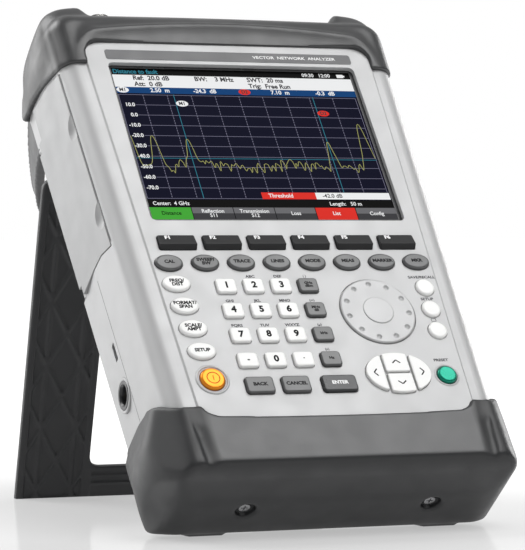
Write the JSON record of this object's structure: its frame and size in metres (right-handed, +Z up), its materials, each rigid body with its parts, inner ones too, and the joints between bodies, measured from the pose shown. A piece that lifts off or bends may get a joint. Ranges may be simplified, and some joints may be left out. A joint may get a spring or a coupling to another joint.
{
  "type": "handheld vector network analyzer",
  "caption": "Handheld vector network and cable analyzer with display, keypad, jog wheel, soft corner boots, rear carry handle and fold-out stand.",
  "frame": {"origin": "centre of the object's bounding box, on the surface that it stands on", "axes": "+X to the user's right, +Y away from the user, +Z up; the instrument leans back 39 degrees on its open stand"},
  "size_m": [0.194, 0.2776, 0.2595],
  "materials": {
    "shell_grey": "fine satin texture",
    "boot_rubber": "soft-touch, lightly textured",
    "handle_grip": "soft-touch, matt",
    "stand_plastic": "moulded, ribbed",
    "wheel_grey": "satin",
    "display": "clear lens over a colour display",
    "mat_silicone": "translucent grey silicone",
    "board": "solder-masked board",
    "battery_case": "moulded",
    "connector_metal": "nickel-plated",
    "screw_steel": "plain",
    "key_black": "satin",
    "key_grey": "satin",
    "key_white": "satin",
    "key_orange": "glossy dome",
    "key_green": "glossy dome"
  },
  "bodies": {
    "case": {"front_shell": "shell_grey", "rear_shell": "shell_grey", "top_boot": "boot_rubber", "bottom_boot": "boot_rubber", "carry_handle": "handle_grip", "display_module": "display", "keypad_mat": "mat_silicone", "circuit_boards": "board", "battery_pack": "battery_case", "connectors": "connector_metal", "boot_screws": "screw_steel"},
    "stand": {"stand": "stand_plastic"},
    "connector_cover": {"connector_cover": "shell_grey"},
    "jog_wheel": {"jog_wheel": "wheel_grey"},
    "softkey_1": {"softkey_1": "key_black"},
    "softkey_2": {"softkey_2": "key_black"},
    "softkey_3": {"softkey_3": "key_black"},
    "softkey_4": {"softkey_4": "key_black"},
    "softkey_5": {"softkey_5": "key_black"},
    "softkey_6": {"softkey_6": "key_black"},
    "mode_key_1": {"mode_key_1": "key_grey"},
    "mode_key_2": {"mode_key_2": "key_grey"},
    "mode_key_3": {"mode_key_3": "key_grey"},
    "mode_key_4": {"mode_key_4": "key_grey"},
    "mode_key_5": {"mode_key_5": "key_grey"},
    "mode_key_6": {"mode_key_6": "key_grey"},
    "mode_key_7": {"mode_key_7": "key_grey"},
    "mode_key_8": {"mode_key_8": "key_grey"},
    "side_key_1": {"side_key_1": "key_white"},
    "side_key_2": {"side_key_2": "key_white"},
    "side_key_3": {"side_key_3": "key_white"},
    "side_key_4": {"side_key_4": "key_white"},
    "digit_1": {"digit_1": "key_white"},
    "digit_2": {"digit_2": "key_white"},
    "digit_3": {"digit_3": "key_white"},
    "unit_key_1": {"unit_key_1": "key_grey"},
    "digit_4": {"digit_4": "key_white"},
    "digit_5": {"digit_5": "key_white"},
    "digit_6": {"digit_6": "key_white"},
    "unit_key_2": {"unit_key_2": "key_grey"},
    "digit_7": {"digit_7": "key_white"},
    "digit_8": {"digit_8": "key_white"},
    "digit_9": {"digit_9": "key_white"},
    "unit_key_3": {"unit_key_3": "key_grey"},
    "point_key": {"point_key": "key_white"},
    "digit_0": {"digit_0": "key_white"},
    "sign_key": {"sign_key": "key_white"},
    "unit_key_4": {"unit_key_4": "key_grey"},
    "back_key": {"back_key": "key_grey"},
    "cancel_key": {"cancel_key": "key_grey"},
    "enter_key": {"enter_key": "key_black"},
    "cursor_up": {"cursor_up": "key_white"},
    "cursor_down": {"cursor_down": "key_white"},
    "cursor_left": {"cursor_left": "key_white"},
    "cursor_right": {"cursor_right": "key_white"},
    "save_key": {"save_key": "key_white"},
    "setup_key": {"setup_key": "key_white"},
    "capture_key": {"capture_key": "key_white"},
    "preset_key": {"preset_key": "key_green"},
    "power_key": {"power_key": "key_orange"}
  },
  "joints": [
    {"name": "stand_hinge", "type": "hinge", "parent": "case", "child": "stand", "pos_m": [0, 0.06084, 0.17674], "axis": [1, 0, 0], "range_deg": [-55.2, 0]},
    {"name": "cover_hinge", "type": "hinge", "parent": "case", "child": "connector_cover", "pos_m": [-0.0861, 0.03207, 0.15233], "axis": [0.0333, -0.629, -0.7767], "range_deg": [0, 100]},
    {"name": "wheel_turn", "type": "hinge", "parent": "case", "child": "jog_wheel", "pos_m": [0.0362, -0.08355, 0.10425], "axis": [0, -0.7771, 0.6293], "continuous": true},
    {"name": "press_softkey_1", "type": "slide", "parent": "case", "child": "softkey_1", "axis": [0, 0.7771, -0.6293], "range_m": [0, 0.0012], "stiffness_N_per_m": 400, "springref_m": -0.0003},
    {"name": "press_softkey_2", "type": "slide", "parent": "case", "child": "softkey_2", "axis": [0, 0.7771, -0.6293], "range_m": [0, 0.0012], "stiffness_N_per_m": 400, "springref_m": -0.0003},
    {"name": "press_softkey_3", "type": "slide", "parent": "case", "child": "softkey_3", "axis": [0, 0.7771, -0.6293], "range_m": [0, 0.0012], "stiffness_N_per_m": 400, "springref_m": -0.0003},
    {"name": "press_softkey_4", "type": "slide", "parent": "case", "child": "softkey_4", "axis": [0, 0.7771, -0.6293], "range_m": [0, 0.0012], "stiffness_N_per_m": 400, "springref_m": -0.0003},
    {"name": "press_softkey_5", "type": "slide", "parent": "case", "child": "softkey_5", "axis": [0, 0.7771, -0.6293], "range_m": [0, 0.0012], "stiffness_N_per_m": 400, "springref_m": -0.0003},
    {"name": "press_softkey_6", "type": "slide", "parent": "case", "child": "softkey_6", "axis": [0, 0.7771, -0.6293], "range_m": [0, 0.0012], "stiffness_N_per_m": 400, "springref_m": -0.0003},
    {"name": "press_mode_key_1", "type": "slide", "parent": "case", "child": "mode_key_1", "axis": [0, 0.7771, -0.6293], "range_m": [0, 0.0012], "stiffness_N_per_m": 400, "springref_m": -0.0003},
    {"name": "press_mode_key_2", "type": "slide", "parent": "case", "child": "mode_key_2", "axis": [0, 0.7771, -0.6293], "range_m": [0, 0.0012], "stiffness_N_per_m": 400, "springref_m": -0.0003},
    {"name": "press_mode_key_3", "type": "slide", "parent": "case", "child": "mode_key_3", "axis": [0, 0.7771, -0.6293], "range_m": [0, 0.0012], "stiffness_N_per_m": 400, "springref_m": -0.0003},
    {"name": "press_mode_key_4", "type": "slide", "parent": "case", "child": "mode_key_4", "axis": [0, 0.7771, -0.6293], "range_m": [0, 0.0012], "stiffness_N_per_m": 400, "springref_m": -0.0003},
    {"name": "press_mode_key_5", "type": "slide", "parent": "case", "child": "mode_key_5", "axis": [0, 0.7771, -0.6293], "range_m": [0, 0.0012], "stiffness_N_per_m": 400, "springref_m": -0.0003},
    {"name": "press_mode_key_6", "type": "slide", "parent": "case", "child": "mode_key_6", "axis": [0, 0.7771, -0.6293], "range_m": [0, 0.0012], "stiffness_N_per_m": 400, "springref_m": -0.0003},
    {"name": "press_mode_key_7", "type": "slide", "parent": "case", "child": "mode_key_7", "axis": [0, 0.7771, -0.6293], "range_m": [0, 0.0012], "stiffness_N_per_m": 400, "springref_m": -0.0003},
    {"name": "press_mode_key_8", "type": "slide", "parent": "case", "child": "mode_key_8", "axis": [0, 0.7771, -0.6293], "range_m": [0, 0.0012], "stiffness_N_per_m": 400, "springref_m": -0.0003},
    {"name": "press_side_key_1", "type": "slide", "parent": "case", "child": "side_key_1", "axis": [0, 0.7771, -0.6293], "range_m": [0, 0.0012], "stiffness_N_per_m": 400, "springref_m": -0.0003},
    {"name": "press_side_key_2", "type": "slide", "parent": "case", "child": "side_key_2", "axis": [0, 0.7771, -0.6293], "range_m": [0, 0.0012], "stiffness_N_per_m": 400, "springref_m": -0.0003},
    {"name": "press_side_key_3", "type": "slide", "parent": "case", "child": "side_key_3", "axis": [0, 0.7771, -0.6293], "range_m": [0, 0.0012], "stiffness_N_per_m": 400, "springref_m": -0.0003},
    {"name": "press_side_key_4", "type": "slide", "parent": "case", "child": "side_key_4", "axis": [0, 0.7771, -0.6293], "range_m": [0, 0.0012], "stiffness_N_per_m": 400, "springref_m": -0.0003},
    {"name": "press_digit_1", "type": "slide", "parent": "case", "child": "digit_1", "axis": [0, 0.7771, -0.6293], "range_m": [0, 0.0012], "stiffness_N_per_m": 400, "springref_m": -0.0003},
    {"name": "press_digit_2", "type": "slide", "parent": "case", "child": "digit_2", "axis": [0, 0.7771, -0.6293], "range_m": [0, 0.0012], "stiffness_N_per_m": 400, "springref_m": -0.0003},
    {"name": "press_digit_3", "type": "slide", "parent": "case", "child": "digit_3", "axis": [0, 0.7771, -0.6293], "range_m": [0, 0.0012], "stiffness_N_per_m": 400, "springref_m": -0.0003},
    {"name": "press_unit_key_1", "type": "slide", "parent": "case", "child": "unit_key_1", "axis": [0, 0.7771, -0.6293], "range_m": [0, 0.0012], "stiffness_N_per_m": 400, "springref_m": -0.0003},
    {"name": "press_digit_4", "type": "slide", "parent": "case", "child": "digit_4", "axis": [0, 0.7771, -0.6293], "range_m": [0, 0.0012], "stiffness_N_per_m": 400, "springref_m": -0.0003},
    {"name": "press_digit_5", "type": "slide", "parent": "case", "child": "digit_5", "axis": [0, 0.7771, -0.6293], "range_m": [0, 0.0012], "stiffness_N_per_m": 400, "springref_m": -0.0003},
    {"name": "press_digit_6", "type": "slide", "parent": "case", "child": "digit_6", "axis": [0, 0.7771, -0.6293], "range_m": [0, 0.0012], "stiffness_N_per_m": 400, "springref_m": -0.0003},
    {"name": "press_unit_key_2", "type": "slide", "parent": "case", "child": "unit_key_2", "axis": [0, 0.7771, -0.6293], "range_m": [0, 0.0012], "stiffness_N_per_m": 400, "springref_m": -0.0003},
    {"name": "press_digit_7", "type": "slide", "parent": "case", "child": "digit_7", "axis": [0, 0.7771, -0.6293], "range_m": [0, 0.0012], "stiffness_N_per_m": 400, "springref_m": -0.0003},
    {"name": "press_digit_8", "type": "slide", "parent": "case", "child": "digit_8", "axis": [0, 0.7771, -0.6293], "range_m": [0, 0.0012], "stiffness_N_per_m": 400, "springref_m": -0.0003},
    {"name": "press_digit_9", "type": "slide", "parent": "case", "child": "digit_9", "axis": [0, 0.7771, -0.6293], "range_m": [0, 0.0012], "stiffness_N_per_m": 400, "springref_m": -0.0003},
    {"name": "press_unit_key_3", "type": "slide", "parent": "case", "child": "unit_key_3", "axis": [0, 0.7771, -0.6293], "range_m": [0, 0.0012], "stiffness_N_per_m": 400, "springref_m": -0.0003},
    {"name": "press_point_key", "type": "slide", "parent": "case", "child": "point_key", "axis": [0, 0.7771, -0.6293], "range_m": [0, 0.0012], "stiffness_N_per_m": 400, "springref_m": -0.0003},
    {"name": "press_digit_0", "type": "slide", "parent": "case", "child": "digit_0", "axis": [0, 0.7771, -0.6293], "range_m": [0, 0.0012], "stiffness_N_per_m": 400, "springref_m": -0.0003},
    {"name": "press_sign_key", "type": "slide", "parent": "case", "child": "sign_key", "axis": [0, 0.7771, -0.6293], "range_m": [0, 0.0012], "stiffness_N_per_m": 400, "springref_m": -0.0003},
    {"name": "press_unit_key_4", "type": "slide", "parent": "case", "child": "unit_key_4", "axis": [0, 0.7771, -0.6293], "range_m": [0, 0.0012], "stiffness_N_per_m": 400, "springref_m": -0.0003},
    {"name": "press_back_key", "type": "slide", "parent": "case", "child": "back_key", "axis": [0, 0.7771, -0.6293], "range_m": [0, 0.0012], "stiffness_N_per_m": 400, "springref_m": -0.0003},
    {"name": "press_cancel_key", "type": "slide", "parent": "case", "child": "cancel_key", "axis": [0, 0.7771, -0.6293], "range_m": [0, 0.0012], "stiffness_N_per_m": 400, "springref_m": -0.0003},
    {"name": "press_enter_key", "type": "slide", "parent": "case", "child": "enter_key", "axis": [0, 0.7771, -0.6293], "range_m": [0, 0.0012], "stiffness_N_per_m": 400, "springref_m": -0.0003},
    {"name": "press_cursor_up", "type": "slide", "parent": "case", "child": "cursor_up", "axis": [0, 0.7771, -0.6293], "range_m": [0, 0.0012], "stiffness_N_per_m": 400, "springref_m": -0.0003},
    {"name": "press_cursor_down", "type": "slide", "parent": "case", "child": "cursor_down", "axis": [0, 0.7771, -0.6293], "range_m": [0, 0.0012], "stiffness_N_per_m": 400, "springref_m": -0.0003},
    {"name": "press_cursor_left", "type": "slide", "parent": "case", "child": "cursor_left", "axis": [0, 0.7771, -0.6293], "range_m": [0, 0.0012], "stiffness_N_per_m": 400, "springref_m": -0.0003},
    {"name": "press_cursor_right", "type": "slide", "parent": "case", "child": "cursor_right", "axis": [0, 0.7771, -0.6293], "range_m": [0, 0.0012], "stiffness_N_per_m": 400, "springref_m": -0.0003},
    {"name": "press_save_key", "type": "slide", "parent": "case", "child": "save_key", "axis": [0, 0.7771, -0.6293], "range_m": [0, 0.0012], "stiffness_N_per_m": 400, "springref_m": -0.0003},
    {"name": "press_setup_key", "type": "slide", "parent": "case", "child": "setup_key", "axis": [0, 0.7771, -0.6293], "range_m": [0, 0.0012], "stiffness_N_per_m": 400, "springref_m": -0.0003},
    {"name": "press_capture_key", "type": "slide", "parent": "case", "child": "capture_key", "axis": [0, 0.7771, -0.6293], "range_m": [0, 0.0012], "stiffness_N_per_m": 400, "springref_m": -0.0003},
    {"name": "press_preset_key", "type": "slide", "parent": "case", "child": "preset_key", "axis": [0, 0.7771, -0.6293], "range_m": [0, 0.0012], "stiffness_N_per_m": 400, "springref_m": -0.0003},
    {"name": "press_power_key", "type": "slide", "parent": "case", "child": "power_key", "axis": [0, 0.7771, -0.6293], "range_m": [0, 0.0012], "stiffness_N_per_m": 400, "springref_m": -0.0003}
  ]
}
